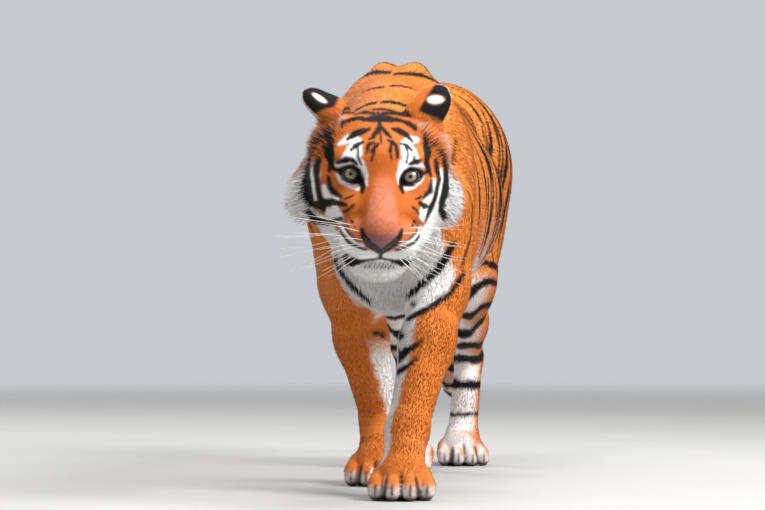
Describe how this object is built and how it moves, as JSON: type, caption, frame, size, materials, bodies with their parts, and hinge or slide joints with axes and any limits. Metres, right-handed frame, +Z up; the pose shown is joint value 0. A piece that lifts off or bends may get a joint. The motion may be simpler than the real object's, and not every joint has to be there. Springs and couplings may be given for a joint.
{
  "type": "tiger",
  "caption": "Life-size still model of a Malayan tiger walking with its head low and its tail curved behind, standing on four flat soles.",
  "frame": {"origin": "middle of the bounding box, on the floor that the soles stand on", "axes": "-Y the way the tiger faces, +X its left side, +Z up"},
  "size_m": [0.3484, 2.1536, 0.8376],
  "materials": {
    "orange_coat": "short orange fur with black stripes, cream below",
    "muzzle_coat": "very short salmon orange fur",
    "white_coat": "white fur",
    "ear_coat": "short black fur with a white spot",
    "nose_leather": "bare pinkish brown nose skin",
    "eye": "wet eye, grey green iris, round pupil"
  },
  "bodies": {
    "root": {"head": "orange_coat", "neck": "orange_coat", "shoulders": "orange_coat", "trunk": "orange_coat", "hips": "orange_coat", "left_thigh": "orange_coat", "right_thigh": "orange_coat", "left_foreleg": "orange_coat", "right_foreleg": "orange_coat", "left_forepaw": "orange_coat", "right_forepaw": "orange_coat", "left_hind_leg": "orange_coat", "right_hind_leg": "orange_coat", "left_hind_paw": "orange_coat", "right_hind_paw": "orange_coat", "tail_root": "orange_coat", "tail_middle": "orange_coat", "tail_end": "orange_coat", "muzzle": "muzzle_coat", "lower_jaw": "white_coat", "nose": "nose_leather", "left_ear": "ear_coat", "right_ear": "ear_coat", "left_eye": "eye", "right_eye": "eye"}
  },
  "joints": []
}
